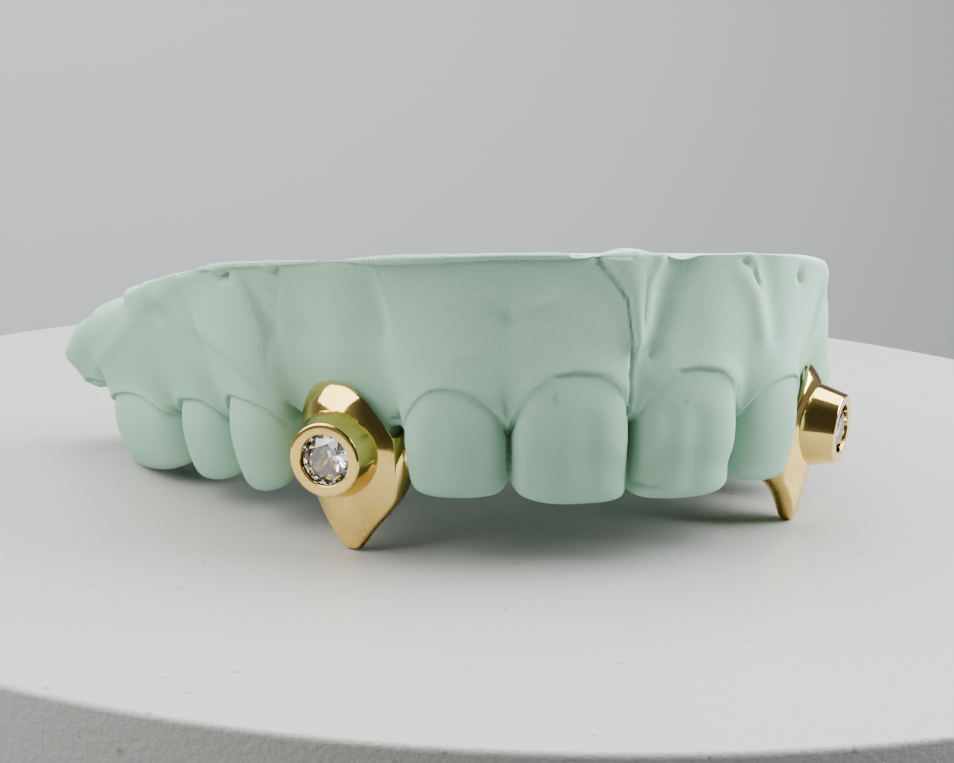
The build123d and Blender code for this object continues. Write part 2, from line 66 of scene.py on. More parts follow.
def rowAt(rows, value):                       # smooth values between the rows of a table, by its first column
    names = list(rows[0])
    key = names[0]
    spot = 0
    while spot < len(rows) - 2 and value > rows[spot + 1][key]:
        spot += 1
    low, high = rows[spot], rows[spot + 1]
    before = rows[max(spot - 1, 0)]
    after = rows[min(spot + 2, len(rows) - 1)]
    span = high[key] - low[key]
    t = min(max((value - low[key]) / span, 0.0), 1.0)
    found = {}
    for name in names[1:]:
        slopeLow = (high[name] - before[name]) / max(high[key] - before[key], 1e-6) * span
        slopeHigh = (after[name] - low[name]) / max(after[key] - low[key], 1e-6) * span
        found[name] = ((2 * t ** 3 - 3 * t ** 2 + 1) * low[name] + (t ** 3 - 2 * t ** 2 + t) * slopeLow
                       + (3 * t ** 2 - 2 * t ** 3) * high[name] + (t ** 3 - t ** 2) * slopeHigh)
    return found


def newObject(name, data):
    made = bpy.data.objects.new(name, data)
    bpy.context.scene.collection.objects.link(made)
    return made


def meshFrom(name, points, faces):
    mesh = bpy.data.meshes.new(name)
    mesh.from_pydata(points, [], faces)
    mesh.update()
    return mesh


def bake(piece):                              # modifiers off, their result kept as a plain mesh
    evaluated = piece.evaluated_get(bpy.context.evaluated_depsgraph_get())
    plain = bpy.data.meshes.new_from_object(evaluated)
    piece.modifiers.clear()
    piece.data = plain


def dress(piece, material):
    piece.data.materials.clear()
    piece.data.materials.append(material)
    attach(piece, "root")


# Node trees: a socket with Python's own signs, and one method that makes any other node

class Socket:
    def __init__(self, tree, source):
        self.tree = tree
        self.source = source

    def maths(self, operation, first, second):
        return self.tree.node("ShaderNodeMath", dict(operation=operation), {0: first, 1: second})

    def __add__(self, other):
        return self.maths("ADD", self, other)

    def __radd__(self, other):
        return self.maths("ADD", other, self)

    def __sub__(self, other):
        return self.maths("SUBTRACT", self, other)

    def __rsub__(self, other):
        return self.maths("SUBTRACT", other, self)

    def __mul__(self, other):
        return self.maths("MULTIPLY", self, other)

    def __rmul__(self, other):
        return self.maths("MULTIPLY", other, self)

    def __truediv__(self, other):
        return self.maths("DIVIDE", self, other)

    def __rtruediv__(self, other):
        return self.maths("DIVIDE", other, self)


class Tree:
    def __init__(self, group):
        self.group = group

    def node(self, kind, settings, values, out=0):
        made = self.group.nodes.new(kind)
        for name, value in settings.items():
            setattr(made, name, value)
        self.fill(made, values)
        return Socket(self, made.outputs[out])

    def fill(self, node, values):             # a node's inputs, by a link or by a plain value
        for key, value in values.items():
            if isinstance(value, Socket):
                self.group.links.new(value.source, node.inputs[key])
            else:
                node.inputs[key].default_value = value

    def objectPlace(self):
        return self.node("ShaderNodeTexCoord", {}, {}, out="Object")

    def noise(self, where, size, detail, rough):
        values = {"Vector": where, "Scale": 1 / size, "Detail": detail, "Roughness": rough}
        return self.node("ShaderNodeTexNoise", {}, values)

    def range(self, value, low, high, newLow=0.0, newHigh=1.0):
        values = {"Value": value, "From Min": low, "From Max": high, "To Min": newLow, "To Max": newHigh}
        return self.node("ShaderNodeMapRange", dict(interpolation_type="SMOOTHSTEP"), values)

    def paint(self, factor, under, over):     # a Mix node's colours are its inputs 6 and 7 and its output 2
        return self.node("ShaderNodeMix", dict(data_type="RGBA"), {0: factor, 6: under, 7: (*over, 1)}, out=2)

    def bump(self, height, strength, distance):
        return self.node("ShaderNodeBump", {}, {"Height": height, "Strength": strength, "Distance": distance})


def newMaterial(name):
    made = bpy.data.materials.new(name)
    made.use_nodes = True
    tree = Tree(made.node_tree)
    shader = made.node_tree.nodes["Principled BSDF"]
    return made, tree, shader


# Camera

view = dict(                                  # mm and degrees
    target=(-8.9, -14.8, 12.62),
    azimuth=-20.02, elevation=12.26, roll=2.12,
    distance=151.5, lens=74.96, sensor=36.0, clipStart=5.0,
)


def makeCamera():
    azimuth, roll = math.radians(view["azimuth"]), math.radians(view["roll"])
    back = towards(view["azimuth"], view["elevation"])
    right = Vector((math.cos(azimuth), math.sin(azimuth), 0))
    up = back.cross(right)
    turnedRight = right * math.cos(roll) + up * math.sin(roll)
    turnedUp = up * math.cos(roll) - right * math.sin(roll)
    place = (Vector(view["target"]) + back * view["distance"]) * mm
    data = bpy.data.cameras.new("camera")
    data.lens = view["lens"]
    data.sensor_width = view["sensor"]
    data.clip_start = view["clipStart"] * mm
    camera = newObject("camera", data)
    axes = Matrix((turnedRight, turnedUp, back)).transposed().to_4x4()
    camera.matrix_world = Matrix.Translation(place) @ axes
    bpy.context.scene.camera = camera


# Floor, backdrop and light

roundTable = dict(                            # mm
    middle=(4.9, 13.0), radius=72.0, thickness=30.0, edgeRadius=0.5, steps=128, edgeSteps=4,
    colour=(0.41, 0.41, 0.395), roughness=0.42,
    grainSize=0.45, grainStrength=0.35, grainDepth=0.2,
    # the dust is dark specks, where a noise passes these levels
    dustSize=0.9, dustFrom=0.80, dustFull=0.84, dustShare=0.55, dustColour=(0.16, 0.15, 0.14),
)
backdrop = dict(distance=420.0, width=1600.0, colour=(0.54, 0.565, 0.585), roughness=0.9)       # mm

# A light's turn and rise are in degrees, and its distance, aim and size in mm
lights = asTable(
    "name turn rise distance aim size power colour",
    ("leftBox", -97, 36, 340, (-10, -5, 12), (430, 300), 2.7, (1.0, 0.985, 0.96)),
    ("rightBox", 80, 34, 330, (10, -8, 12), (260, 210), 3.8, (0.97, 0.985, 1.0)),
    ("overhead", 170, 72, 340, (0, 0, 10), (420, 280), 2.9, (1.0, 0.985, 0.965)),
)
studio = dict(                                # the room's glow, which is dim in front
    front=(0.08, -0.88, 0.42), dim=(0.055, 0.055, 0.055), bright=(0.25, 0.255, 0.26), start=0.45, full=0.80,
    strength=1.0,
)


def tableMaterial():
    material, tree, shader = newMaterial("paleTable")
    look = roundTable
    where = tree.objectPlace()
    grain = tree.noise(where, look["grainSize"] * mm, detail=3.0, rough=0.6)
    dust = tree.noise(where, look["dustSize"] * mm, detail=0.0, rough=0.5)
    dusty = tree.range(dust, look["dustFrom"], look["dustFull"], 0.0, look["dustShare"])
    tree.fill(shader, {
        "Base Color": tree.paint(dusty, (*look["colour"], 1), look["dustColour"]),
        "Roughness": look["roughness"],
        "Normal": tree.bump(grain, look["grainStrength"], look["grainDepth"] * mm),
    })
    return material


def makeTable():
    steps = roundTable["steps"]
    radius = roundTable["radius"] * mm
    soft = roundTable["edgeRadius"] * mm
    rings = [(radius - soft, 0.0)]
    for k in range(1, roundTable["edgeSteps"] + 1):
        a = k / roundTable["edgeSteps"] * math.pi / 2
        rings.append((radius - soft + soft * math.sin(a), -soft + soft * math.cos(a)))
    rings.append((radius, -roundTable["thickness"] * mm))
    middle = [c * mm for c in roundTable["middle"]]
    points = []
    for size, height in rings:
        for k in range(steps):
            a = k * 2 * math.pi / steps
            points.append((middle[0] + size * math.cos(a), middle[1] + size * math.sin(a), height))
    faces = [tuple(range(steps))]
    for r in range(len(rings) - 1):
        for k in range(steps):
            n = (k + 1) % steps
            faces.append((r * steps + k, (r + 1) * steps + k, (r + 1) * steps + n, r * steps + n))
    floor = newObject("table", meshFrom("table", points, faces))
    floor.data.shade_smooth()
    floor.data.materials.append(tableMaterial())
    return floor


def makeBackdrop():
    half = backdrop["width"] * mm / 2
    away = backdrop["distance"] * mm
    corners = [(-half, away, -half), (half, away, -half), (half, away, half), (-half, away, half)]
    wall = newObject("backdrop", meshFrom("backdrop", corners, [(0, 1, 2, 3)]))
    material, tree, shader = newMaterial("greyBackdrop")
    tree.fill(shader, {"Base Color": (*backdrop["colour"], 1), "Roughness": backdrop["roughness"]})
    wall.data.materials.append(material)
    return wall


def makeStage():
    floor = makeTable()
    wall = makeBackdrop()


def makeLights():
    for light in lights:
        data = bpy.data.lights.new(light["name"], "AREA")
        data.shape = "RECTANGLE"
        data.size, data.size_y = (side * mm for side in light["size"])
        data.energy = light["power"]
        data.color = light["colour"]
        lamp = newObject(light["name"], data)
        away = towards(light["turn"], light["rise"])
        place = (Vector(light["aim"]) + away * light["distance"]) * mm
        lamp.matrix_world = Matrix.Translation(place) @ away.to_track_quat("Z", "Y").to_matrix().to_4x4()


def makeWorld():
    world = bpy.data.worlds.new("studio")
    bpy.context.scene.world = world
    world.use_nodes = True
    tree = Tree(world.node_tree)
    where = tree.node("ShaderNodeTexCoord", {}, {}, out="Generated")
    facing = tree.node("ShaderNodeVectorMath", dict(operation="DOT_PRODUCT"),
                       {0: where, 1: studio["front"]}, out="Value")
    dimmed = tree.range(facing, studio["start"], studio["full"])
    shade = tree.paint(dimmed, (*studio["bright"], 1), studio["dim"])
    tree.fill(world.node_tree.nodes["Background"], {"Color": shade, "Strength": studio["strength"]})


# The dental cast: the frame's own solid, rounded and carved

cast = dict(
    levels=2,                                 # rounds of smooth division
    merge=0.002,                              # mm: corners closer than this are one
    backFacing=0.95, backFlat=0.01, backAngle=40, backCrease=0.8,      # the trimmed back, in mm and degrees
    valleyAngle=32, valleyCrease=0.35,        # degrees: the gum lines and the gaps between the teeth
    steep=0.7, papillaTop=5.8,                # steeper edges above this height, in mm, are no valleys
    creaseFade=5.5,                           # mm above the teeth's edges, where the crease is full
    grooveWidth=0.17, grooveDepth=0.16, grooveStep=0.22,     # mm: the fine line cut along the valleys
    swellHeight=0.10, swellSize=9.0,          # mm: the slow unevenness of a hand-made impression
    grainHeight=0.006, grainSize=0.5,         # mm: the set stone's own tooth
    seed=7,
    hollowRounds=3, hollowSpan=0.1,           # mm: keeps very small faces from counting as hollow
)
# Sizes and heights are in mm. Specks, mottles and hollows start at the first number, are full at the second
# and cover the share that the third gives. Ridges are full at the first and end at the second.
stoneLook = dict(
    # Painted light and shade: the stone is the deep colour low down and the pale colour high up, painted
    # shade towards the table and painted light towards the rim, with the level lifted at random by the
    # clouds.
    pale=(0.42, 0.69, 0.53), deep=(0.25, 0.455, 0.325), paintedShadeTop=10.5, paintedLightFrom=23.5,
    cloudSize=7.0, cloudLift=4, clouds=(0.3, 0.7), roughness=(0.72, 0.86),
    speckSize=0.35, specks=(0.66, 0.72, 0.45), speckColour=(0.30, 0.36, 0.31),
    mottleSize=0.16, mottles=(0.35, 0.65, 0.28), mottleColour=(0.26, 0.43, 0.33),
    # The hollows' colour is painted shade: darker stone in creases and recesses.
    hollows=(0.05, 0.5, 0.75), hollowColour=(0.17, 0.27, 0.22),
    # The ridges' colour is painted highlight on raised edges.
    ridges=(-0.4, -0.05, 0.35), ridgeHighlightColour=(0.60, 0.74, 0.66),
    grainSize=0.12, grainStrength=0.45, grainDepth=0.05,
)

# The gum is evened out from start on beside its line, and up to the rim, and the teeth below edgeTop.
# Lengths are in mm, and heights are above the teeth's edges.
calming = dict(
    start=0.5, reach=1.4, above=0.2, rim=17.4, fade=1.5, weight=0.7, rounds=110,
    edgeTop=4.6, edgeWeight=0.6, edgeRounds=9,
)

# The gum line's arch over each tooth: degrees round from the front, and heights above the teeth's edges in mm
gumArches = asTable(
    "start end neck papilla",
    (-115.0, -90.6, 6.7, 4.6), (-90.6, -72.6, 6.9, 4.6), (-72.6, -55.9, 7.5, 5.0), (-34.1, -18.3, 8.7, 5.2),
    (-18.3, 0.3, 9.9, 5.5), (0.3, 18.9, 9.9, 5.5), (18.9, 34.7, 8.7, 5.2), (56.3, 72.8, 7.5, 5.0),
    (72.8, 90.6, 6.9, 4.6), (90.6, 114.7, 6.7, 4.6),
)
archCurve = dict(solid=2.2, round=3.4, reach=1.7)            # the arches' powers, and mm

# Marks on the cast's outside, each along a path of (degrees round from the front, height in mm), with its
# width at both ends and its depth into the stone in mm. A negative depth is a ridge.
outerAxis = (0.0, 5.0)                        # mm: the degrees are counted round this upright line
marks = asTable(
    "name width endWidth depth path",
    ("lipFold", 2.0, 0.6, -0.60, ((-3.0, 23.6), (-1.2, 21.4), (-0.7, 19.6), (-0.5, 17.6))),
    ("lipCrack", 0.20, 0.14, 0.42, ((-6.8, 23.5), (-4.0, 21.9), (-2.2, 20.6), (-1.6, 18.9), (-0.8, 17.0),
                                    (-0.8, 14.8), (-0.6, 12.9), (-0.8, 11.6))),
    ("lipEdge", 0.45, 0.3, -0.20, ((2.6, 23.4), (1.7, 22.2), (1.2, 21.1), (1.1, 18.6), (-0.2, 17.0))),
    ("lipShade", 1.1, 0.7, 0.45, ((6.0, 23.0), (3.8, 21.0), (3.2, 18.6), (1.8, 16.6))),
    ("rightGroove", 2.4, 2.4, 0.35, ((6.0, 20.0), (7.0, 16.5), (5.0, 14.0))),
    ("smile", 0.5, 0.4, -0.16, ((-22.5, 20.7), (-19.7, 20.1), (-17.5, 19.9), (-15.0, 20.0), (-12.5, 20.6))),
    ("smileShade", 0.8, 0.6, 0.12, ((-21.0, 19.6), (-18.0, 19.0), (-14.5, 19.1))),
    ("vestibule", 4.2, 4.2, 0.45, ((-36.0, 19.5), (-28.0, 18.6), (-20.0, 18.0), (-11.0, 18.6))),
    ("lateralScar", 0.35, 0.25, -0.09, ((-26.5, 16.1), (-24.4, 16.3), (-22.6, 16.1))),
    ("cheekFold", 0.9, 0.6, -0.20, ((-84.0, 17.6), (-79.6, 16.6), (-75.3, 15.1), (-66.0, 13.8), (-61.5, 12.4),
                                    (-56.5, 11.0))),
    ("cheekShade", 1.6, 1.2, 0.16, ((-84.0, 15.6), (-78.0, 14.4), (-70.0, 12.8), (-64.0, 11.4),
                                    (-60.0, 10.4))),
    ("castSeam", 0.30, 0.25, 0.08, ((-53.3, 21.4), (-55.3, 18.3), (-58.2, 15.2), (-59.0, 13.6))),
    ("canineRise", 3.0, 2.6, -0.35, ((-42.4, 21.0), (-44.4, 18.0), (-46.5, 14.5))),
    ("leftFold", 1.0, 0.8, -0.30, ((17.6, 22.5), (20.0, 20.0), (21.4, 17.4))),
    ("leftFoldShade", 1.2, 1.0, 0.25, ((21.0, 22.2), (23.5, 19.6), (24.8, 17.0))),
    ("leftRidge", 1.0, 0.8, -0.30, ((41.0, 20.6), (42.4, 18.6), (43.2, 16.4))),
    ("trimEdge", 0.7, 0.6, -0.16, ((-70.0, 20.2), (-77.0, 18.4), (-84.0, 16.6), (-90.0, 14.6), (-97.0, 12.4),
                                   (-104.0, 10.0), (-112.0, 7.6))),
    ("rimNotchA", 0.44, 0.38, 0.95, ((-64.2, 20.2), (-63.0, 20.3))),
    ("rimNotchB", 0.32, 0.30, 0.65, ((-54.4, 21.3), (-53.8, 21.3))),
    ("rimNotchC", 0.36, 0.20, 0.42, ((16.8, 22.9), (18.6, 22.3), (20.0, 21.2))),
    ("rimNotchD", 0.28, 0.24, 0.45, ((29.6, 21.6), (30.3, 20.7))),
    ("pitA", 0.20, 0.20, 0.22, ((-53.9, 15.3), (-53.6, 14.7))),
    ("pitB", 0.14, 0.14, 0.16, ((-37.0, 21.9), (-36.8, 21.9))),
    ("pitC", 0.13, 0.13, 0.26, ((-15.8, 10.5), (-15.7, 10.5))),
    ("pitD", 0.14, 0.14, 0.28, ((-12.3, 13.2), (-12.2, 13.2))),
    ("pitE", 0.13, 0.13, 0.26, ((7.4, 12.8), (7.5, 12.8))),
    ("chipA", 0.30, 0.30, 0.25, ((1.3, 6.6), (2.4, 6.4))),
    ("chipB", 0.22, 0.22, 0.20, ((3.2, 6.2), (3.8, 6.2))),
    ("centralLobeA", 0.9, 1.1, 0.18, ((-14.2, 11.5), (-14.4, 8.0), (-14.6, 6.6))),
    ("centralLobeB", 0.9, 1.1, 0.16, ((-7.2, 11.5), (-7.0, 8.0), (-6.8, 6.6))),
    ("centralLobeC", 0.8, 1.0, 0.19, ((5.0, 11.5), (4.8, 8.0), (4.4, 6.6))),
    ("centralLobeD", 0.8, 1.0, 0.19, ((9.4, 11.5), (9.2, 8.0), (8.8, 6.6))),
    ("lateralLobe", 0.9, 1.0, 0.10, ((-28.6, 10.5), (-28.8, 8.0), (-29.0, 7.0))),
)
bubble = dict(spot=(1.9, 16.2), radius=0.34, width=0.10, height=0.09)       # mm: a burst air bubble's rim
carving = dict(                               # mm, and shares of a mark's width
    tracing=4, degreeLength=0.45,             # steps to the mm, and the length of a degree round the cast
    away=100, rimStep=0.1,                    # where the search for the surface starts, and its steps down
    reach=3,
    fineBelow=0.6, fineCuts=1, fineReach=1.3, fineMargin=0.12,         # narrow marks get finer faces
)
resting = dict(turn=8.285, shift=(0.161, -25.105, 5.298))    # degrees and mm: how the level cast is laid down


def standing(point):                          # a point of the resting part, with the teeth's edges level
    return Matrix.Rotation(math.radians(resting["turn"]), 3, "X") @ (point - Vector(resting["shift"]) * mm)


def castMesh():                               # the solid's faces, its creases, and points along its valleys
    bm = bmesh.new()
    bm.from_mesh(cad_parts["stone_cast"].data)
    bmesh.ops.remove_doubles(bm, verts=bm.verts, dist=cast["merge"] * mm)
    bmesh.ops.join_triangles(bm, faces=bm.faces, angle_face_threshold=math.pi, angle_shape_threshold=math.pi)
    backwards = [face for face in bm.faces if face.normal.y > cast["backFacing"]]
    back = max(backwards, key=lambda face: face.calc_area())
    crease = bm.edges.layers.float.new("crease_edge")
    valleys = []
    for edge in bm.edges:
        a, b = (v.co for v in edge.verts)
        onBack = [abs((v.co - back.verts[0].co).dot(back.normal)) < cast["backFlat"] * mm for v in edge.verts]
        if all(onBack) and edge.calc_face_angle(0.0) > math.radians(cast["backAngle"]):
            edge[crease] = cast["backCrease"]
        steep = abs((b - a).z) > cast["steep"] * (b - a).length
        height = standing((a + b) / 2).z / mm
        inGum = steep and height > cast["papillaTop"]
        sunken = edge.calc_face_angle_signed(0.0) < -math.radians(cast["valleyAngle"])
        if sunken and not any(onBack) and not inGum:
            edge[crease] = cast["valleyCrease"] * ease(height / cast["creaseFade"])
            steps = max(1, int((b - a).length / (cast["grooveStep"] * mm)))
            valleys += [a.lerp(b, k / steps) for k in range(steps)]
    mesh = bpy.data.meshes.new("castStone")
    bm.to_mesh(mesh)
    bm.free()
    return mesh, valleys


def onStone(surface, spot):                   # the outermost point at a mark's spot, or the rim below it
    turn, height = spot
    direction = towards(turn, 0)
    hit = None
    while hit is None and height > 0:
        far = Vector((*outerAxis, height)) * mm + direction * carving["away"] * mm
        hit = surface.ray_cast(far, -direction)[0]
        height -= carving["rimStep"]
    return hit


def markPath(surface, spots):                 # a mark's path on the stone, in short steps
    path = []
    for a, b in zip(spots, spots[1:]):
        length = math.hypot((b[0] - a[0]) * carving["degreeLength"], b[1] - a[1])
        steps = max(2, int(carving["tracing"] * length))
        for k in range(steps + 1):
            t = k / steps
            path.append(tuple(onStone(surface, (mix(a[0], b[0], t), mix(a[1], b[1], t)))))
    return np.array(path)


def nearest(points, path):                    # each point's distance to a path, and how far along it that is
    spots = KDTree(len(path))
    for k, spot in enumerate(path):
        spots.insert(spot, k)
    spots.balance()
    found = np.array([spots.find(point)[1:] for point in points]).reshape(-1, 2)
    return found[:, 1], found[:, 0] / max(len(path) - 1, 1)


def beside(points, path, reach):              # which points can lie within reach of a path
    return np.where(((points > path.min(0) - reach) & (points < path.max(0) + reach)).all(axis=1))[0]


def vertexArray(mesh, field="co"):
    values = np.zeros(len(mesh.vertices) * 3)
    if field == "co":
        mesh.vertices.foreach_get("co", values)
    else:
        mesh.vertex_normals.foreach_get("vector", values)
    return values.reshape(-1, 3)


def refine(mesh, paths):                      # finer faces beside the narrow marks
    points = vertexArray(mesh)
    close = np.zeros(len(points), bool)
    for mark, path in paths:
        width = max(mark["width"], mark["endWidth"])
        if width < carving["fineBelow"]:
            reach = (carving["fineReach"] * width + carving["fineMargin"]) * mm
            inside = beside(points, path, reach)
            gap, _ = nearest(points[inside], path)
            close[inside[gap < reach]] = True
    bm = bmesh.new()
    bm.from_mesh(mesh)
    bm.verts.ensure_lookup_table()
    edges = [edge for edge in bm.edges if close[edge.verts[0].index] and close[edge.verts[1].index]]
    bmesh.ops.subdivide_edges(bm, edges=edges, cuts=carving["fineCuts"], use_grid_fill=True)
    bm.to_mesh(mesh)
    bm.free()


def carve(mesh, valleys):                     # the folds, cracks, notches and pits, moved into the surface
    surface = BVHTree.FromPolygons([v.co for v in mesh.vertices], [tuple(p.vertices) for p in mesh.polygons])
    paths = [(mark, markPath(surface, mark["path"])) for mark in marks]
    groove = dict(width=cast["grooveWidth"], endWidth=cast["grooveWidth"], depth=cast["grooveDepth"])
    paths.append((groove, np.array([tuple(surface.find_nearest(spot)[0]) for spot in valleys])))
    burst = markPath(surface, (bubble["spot"], bubble["spot"]))
    paths.append((dict(width=bubble["radius"], endWidth=bubble["radius"], depth=0.0), burst))
    refine(mesh, paths)
    points = vertexArray(mesh)
    normals = vertexArray(mesh, "normal")
    rise = np.zeros(len(points))
    for mark, path in paths:
        reach = carving["reach"] * max(mark["width"], mark["endWidth"]) * mm
        inside = beside(points, path, reach)
        gap, share = nearest(points[inside], path)
        width = (mark["width"] + (mark["endWidth"] - mark["width"]) * share) * mm
        rise[inside] -= mark["depth"] * mm * np.exp(-(gap / width) ** 2)
    gap, _ = nearest(points, burst)
    rise += bubble["height"] * mm * np.exp(-((gap - bubble["radius"] * mm) / (bubble["width"] * mm)) ** 2)
    mesh.vertices.foreach_set("co", (points + normals * rise[:, None]).ravel())
    mesh.update()


def neighbours(mesh):                         # a function that averages values over each point's neighbours
    ends = np.zeros(len(mesh.edges) * 2, int)
    mesh.edges.foreach_get("vertices", ends)
    size = len(mesh.vertices)
    first, second = ends.reshape(-1, 2).T
    count = np.maximum(np.bincount(ends, minlength=size), 1)

    def around(values):
        if values.ndim > 1:
            return np.stack([around(column) for column in values.T], axis=1)
        return (np.bincount(first, values[second], size) + np.bincount(second, values[first], size)) / count

    return around


def calm(mesh, valleys):                      # evens out the gum above the teeth, and the teeth's lower ends
    points = vertexArray(mesh)
    gap, share = nearest(points, np.array([tuple(spot) for spot in valleys]))
    closest = np.round(share * (len(valleys) - 1)).astype(int)
    valley = np.array([standing(spot).z for spot in valleys])[closest]
    height = np.array([standing(Vector(point)).z for point in points])
    gum = np.clip((gap / mm - calming["start"]) / calming["reach"], 0, 1)
    gum *= height > valley + calming["above"] * mm
    gum *= np.clip((calming["rim"] - height / mm) / calming["fade"], 0, 1)
    edges = np.clip((calming["edgeTop"] - height / mm) / calming["fade"], 0, 1)
    around = neighbours(mesh)
    for where, weight, rounds in ((gum, calming["weight"], calming["rounds"]),
                                  (edges, calming["edgeWeight"], calming["edgeRounds"])):
        pull = weight * where[:, None]
        for _ in range(rounds):
            points = points + (around(points) - points) * pull
    mesh.vertices.foreach_set("co", points.ravel())
    mesh.update()


def archLift(point):                          # how far up the gum line's arch moves at a point, to be rounder
    x, y = point[0] / mm - outerAxis[0], point[1] / mm - outerAxis[1]
    turn = math.degrees(math.atan2(x, -y))
    for tooth in gumArches:
        if tooth["start"] <= turn < tooth["end"]:
            aside = abs(2 * (turn - tooth["start"]) / (tooth["end"] - tooth["start"]) - 1)
            drop = tooth["neck"] - tooth["papilla"]
            lift = drop * (aside ** archCurve["solid"] - aside ** archCurve["round"])
            off = standing(Vector(point)).z / mm - (tooth["neck"] - drop * aside ** archCurve["solid"])
            return lift * math.exp(-(off / archCurve["reach"]) ** 2) * mm
    return 0.0


def roundArches(mesh, valleys):
    for vertex in mesh.vertices:
        vertex.co.z += archLift(vertex.co)
    for spot in valleys:
        spot.z += archLift(spot)
    mesh.update()


def markHollows(mesh):                        # how hollow the surface is at each point, for the painted shade in its hollows and the painted highlight on its ridges
    points = vertexArray(mesh)
    normals = vertexArray(mesh, "normal")
    around = neighbours(mesh)
    mean = around(points)
    spread = around(np.linalg.norm(points - mean, axis=1) + cast["hollowSpan"] * mm)
    hollow = ((mean - points) * normals).sum(1) / spread
    for _ in range(cast["hollowRounds"]):
        hollow = 0.5 * hollow + 0.5 * around(hollow)
    attribute = mesh.attributes.new("hollow", "FLOAT", "POINT")
    attribute.data.foreach_set("value", hollow.astype(np.float32))


def reliefTree():                             # moves a surface along its normals by two noises
    group = bpy.data.node_groups.new("castRelief", "GeometryNodeTree")
    face = group.interface
    face.new_socket("Geometry", in_out="INPUT", socket_type="NodeSocketGeometry")
    for name in ("Swell Height", "Swell Size", "Grain Height", "Grain Size"):
        face.new_socket(name, in_out="INPUT", socket_type="NodeSocketFloat")
    face.new_socket("Seed", in_out="INPUT", socket_type="NodeSocketInt")
    face.new_socket("Material", in_out="INPUT", socket_type="NodeSocketMaterial")
    face.new_socket("Geometry", in_out="OUTPUT", socket_type="NodeSocketGeometry")
    tree = Tree(group)
    start = group.nodes.new("NodeGroupInput")
    given = {socket.name: Socket(tree, socket) for socket in start.outputs if socket.name}
    where = tree.node("GeometryNodeInputPosition", {}, {})
    normal = tree.node("GeometryNodeInputNormal", {}, {})
    seedStep, seedAside, seedUp = 0.37, 0.11, 0.23           # metres: where a seed's place in the noise lies
    shift = tree.node("ShaderNodeCombineXYZ", {}, {0: given["Seed"] * seedStep, 1: seedAside, 2: seedUp})
    place = tree.node("ShaderNodeVectorMath", dict(operation="ADD"), {0: where, 1: shift})

    def wave(name, detail):
        scale = 1.0 / given[name + " Size"]
        level = tree.node("ShaderNodeTexNoise", {}, {"Vector": place, "Scale": scale, "Detail": detail})
        return (level - 0.5) * given[name + " Height"]

    rise = wave("Swell", 1.0) + wave("Grain", 2.0)
    offset = tree.node("ShaderNodeVectorMath", dict(operation="SCALE"), {0: normal, "Scale": rise})
    moved = tree.node("GeometryNodeSetPosition", {}, {"Geometry": given["Geometry"], "Offset": offset})
    solid = tree.node("GeometryNodeRealizeInstances", {}, {"Geometry": moved})
    coloured = tree.node("GeometryNodeSetMaterial", {}, {"Geometry": solid, "Material": given["Material"]})
    end = group.nodes.new("NodeGroupOutput")
    group.links.new(coloured.source, end.inputs[0])
    return group


def giveInputs(modifier, values):
    for item in modifier.node_group.interface.items_tree:
        if item.in_out == "INPUT" and item.name in values:
            modifier[item.identifier] = values[item.name]


def stoneMaterial():
    material, tree, shader = newMaterial("dentalStone")
    look = stoneLook
    where = tree.objectPlace()
    height = tree.node("ShaderNodeSeparateXYZ", {}, {0: where}, out="Z")
    hollow = tree.node("ShaderNodeAttribute", dict(attribute_name="hollow"), {}, out="Fac")
    cloud = tree.noise(where, look["cloudSize"] * mm, detail=3.0, rough=0.55)
    speck = tree.noise(where, look["speckSize"] * mm, detail=2.0, rough=0.6)
    mottle = tree.noise(where, look["mottleSize"] * mm, detail=2.0, rough=0.7)
    grain = tree.noise(where, look["grainSize"] * mm, detail=3.0, rough=0.65)
    # Painted light by height: darker towards the table, paler towards the rim.
    level = height + cloud * look["cloudLift"] * mm
    paintedLightByHeight = tree.range(level, look["paintedShadeTop"] * mm, look["paintedLightFrom"] * mm)
    colour = tree.paint(paintedLightByHeight, (*look["deep"], 1), look["pale"])
    # Specks and mottles are the stone's own colour; the darker hollows are painted shade.
    for value, name in ((speck, "speck"), (mottle, "mottle"), (hollow, "hollow")):
        start, full, share = look[name + "s"]
        colour = tree.paint(tree.range(value, start, full, 0.0, share), colour, look[name + "Colour"])
    # Painted highlight: paler stone where the surface bulges out.
    full, start, share = look["ridges"]
    colour = tree.paint(tree.range(hollow, full, start, share, 0.0), colour, look["ridgeHighlightColour"])
    tree.fill(shader, {
        "Base Color": colour,
        "Roughness": tree.range(cloud, *look["clouds"], *look["roughness"]),
        "Normal": tree.bump(grain, look["grainStrength"], look["grainDepth"] * mm),
    })
    return material


def makeCast():
    mesh, valleys = castMesh()
    piece = newObject("castStone", mesh)
    smooth = piece.modifiers.new("smooth", "SUBSURF")
    smooth.levels = smooth.render_levels = cast["levels"]
    bake(piece)
    calm(piece.data, valleys)
    roundArches(piece.data, valleys)
    carve(piece.data, valleys)
    stone = stoneMaterial()
    relief = piece.modifiers.new("relief", "NODES")
    relief.node_group = reliefTree()
    giveInputs(relief, {"Swell Height": cast["swellHeight"] * mm, "Swell Size": cast["swellSize"] * mm,
                        "Grain Height": cast["grainHeight"] * mm, "Grain Size": cast["grainSize"] * mm,
                        "Seed": cast["seed"], "Material": stone})
    bake(piece)
    markHollows(piece.data)
    piece.data.shade_smooth()
    dress(piece, stone)
    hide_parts("stone_cast")
    print("cast:", len(piece.data.polygons), "faces")


# The gold caps: a cast shell with a fang, a soldered bezel and a cut seat

